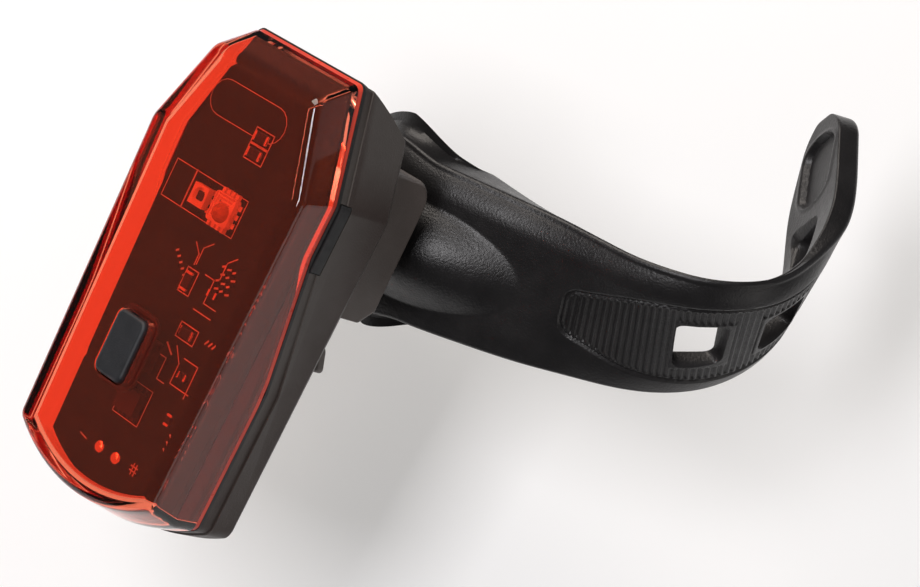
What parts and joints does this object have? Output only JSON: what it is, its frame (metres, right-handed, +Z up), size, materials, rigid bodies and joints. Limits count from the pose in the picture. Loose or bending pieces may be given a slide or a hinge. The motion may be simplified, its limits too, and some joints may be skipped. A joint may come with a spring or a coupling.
{
  "type": "bike tail light",
  "caption": "Red bicycle tail light on a perforated rubber strap, with slide-on bracket, release latch, button and charging socket.",
  "frame": {"origin": "on the axis of the seat post that the strap's saddle grips, in the middle of the saddle", "axes": "+Z up with the lamp upright, lens faces -Y, +X towards the free end of the strap; the post's axis leans 16.7 degrees towards the lens"},
  "size_m": [0.0899, 0.0856, 0.1065],
  "materials": {
    "red_lens": "clear red moulded plastic, polished",
    "seal_rubber": "black soft seal",
    "housing_plastic": "dark warm grey, fine spark texture",
    "board_laminate": "dark solder mask over glass laminate",
    "led_package": "white package with clear dome",
    "chip_epoxy": "black moulded epoxy",
    "solder": "bright solder",
    "steel": "plain bright steel",
    "black_plastic": "black moulded plastic",
    "button_rubber": "blue-black soft rubber",
    "cover_rubber": "black soft rubber",
    "cell_foil": "laminated foil pouch",
    "foam": "adhesive foam",
    "lead_insulation": "flexible insulation",
    "strap_rubber": "black satin rubber"
  },
  "bodies": {
    "mount": {"bracket_block": "housing_plastic", "neck_screw": "steel", "mount_neck": "black_plastic", "strap_base": "strap_rubber"},
    "light_unit": {"rear_housing": "housing_plastic", "lens_cover": "red_lens", "lens_gasket": "seal_rubber", "circuit_board": "board_laminate", "main_led": "led_package", "auxiliary_led": "led_package", "control_chip": "chip_epoxy", "small_components": "chip_epoxy", "solder_joints": "solder", "tact_switch": "steel", "usb_socket": "steel", "usb_tongue": "black_plastic", "battery_cell": "cell_foil", "battery_pad": "foam", "battery_leads": "lead_insulation"},
    "power_button": {"power_button": "button_rubber", "switch_plunger": "black_plastic"},
    "usb_cover": {"usb_cover": "cover_rubber"},
    "release_latch": {"release_latch": "black_plastic"},
    "strap_near": {"strap_near": "strap_rubber"},
    "strap_middle": {"strap_middle": "strap_rubber"},
    "strap_tip": {"strap_tip": "strap_rubber"}
  },
  "joints": [
    {"name": "lamp_slide", "type": "slide", "parent": "mount", "child": "light_unit", "axis": [0, 0, 1], "range_m": [0, 0.024]},
    {"name": "button_press", "type": "slide", "parent": "light_unit", "child": "power_button", "axis": [0, 1, 0], "range_m": [0, 0.0004], "stiffness_N_per_m": 2000},
    {"name": "cover_hinge", "type": "hinge", "parent": "light_unit", "child": "usb_cover", "pos_m": [0.01855, -0.0467, -0.01308], "axis": [0, 1, 0], "range_deg": [0, 110]},
    {"name": "latch_pivot", "type": "hinge", "parent": "mount", "child": "release_latch", "pos_m": [0, -0.02695, -0.01998], "axis": [1, 0, 0], "range_deg": [0, 8], "stiffness_Nm_per_rad": 0.36},
    {"name": "strap_root_bend", "type": "hinge", "parent": "mount", "child": "strap_near", "pos_m": [0.02656, -0.00647, -0.00194], "axis": [0, -0.2874, 0.9578], "range_deg": [0, 58], "stiffness_Nm_per_rad": 0.3},
    {"name": "strap_middle_bend", "type": "hinge", "parent": "strap_near", "child": "strap_middle", "pos_m": [0.04543, -0.0017, 0.00031], "axis": [0.1409, -0.5758, 0.8053], "range_deg": [0, 9], "stiffness_Nm_per_rad": 0.05},
    {"name": "strap_tip_bend", "type": "hinge", "parent": "strap_middle", "child": "strap_tip", "pos_m": [0.05593, 0.00831, 0.00719], "axis": [0.3574, -0.6905, 0.6289], "range_deg": [0, 6], "stiffness_Nm_per_rad": 0.05}
  ],
  "couplings": [
    {"joint": "strap_middle_bend", "follows": "strap_root_bend", "ratio": 0.15},
    {"joint": "strap_tip_bend", "follows": "strap_root_bend", "ratio": 0.1}
  ]
}
